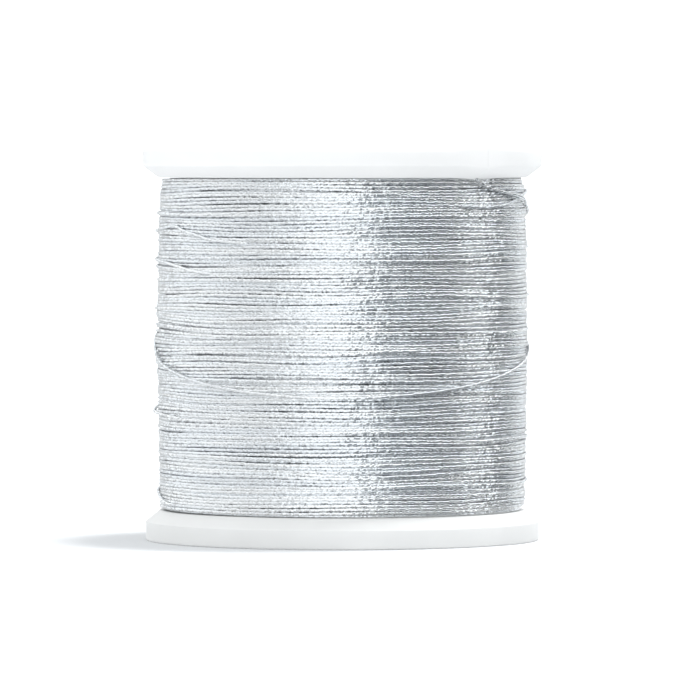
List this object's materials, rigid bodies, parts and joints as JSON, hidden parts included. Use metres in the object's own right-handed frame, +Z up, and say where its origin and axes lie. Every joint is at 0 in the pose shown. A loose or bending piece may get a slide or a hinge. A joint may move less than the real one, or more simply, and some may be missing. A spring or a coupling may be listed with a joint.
{
  "type": "cord spool",
  "caption": "Upright two-flange plastic spool wound with fine silver metallic craft cord, with one slack turn hanging in front and a cord catch in the upper rim.",
  "frame": {"origin": "on the spool's axis, at the plane of the lower rim that it stands on", "axes": "+Z up along the spool's axis, -Y towards the front where the slack turn hangs, +X to the right seen from the front"},
  "size_m": [0.0508, 0.0508, 0.0505],
  "materials": {
    "flange_plastic": "satin moulded white",
    "core_plastic": "plain moulded white",
    "metallic_cord": "bright silver metallised cord"
  },
  "bodies": {
    "spool": {"bottom_flange": "flange_plastic", "top_flange": "flange_plastic", "core_tube": "core_plastic", "cord_winding": "metallic_cord", "loose_turn": "metallic_cord", "stray_turn_upper_left": "metallic_cord", "stray_turn_middle_left": "metallic_cord", "stray_turn_left": "metallic_cord", "stray_turn_lower_left": "metallic_cord", "stray_turn_upper_right": "metallic_cord", "cord_end": "metallic_cord", "cord_start": "metallic_cord"},
    "catch": {"catch_finger": "flange_plastic"}
  },
  "joints": [
    {"name": "catch_flex", "type": "hinge", "parent": "spool", "child": "catch", "pos_m": [0.02119, -0.01127, 0.0486], "axis": [-0.8829, 0.4695, 0], "range_deg": [0, 6], "stiffness_Nm_per_rad": 0.05}
  ]
}
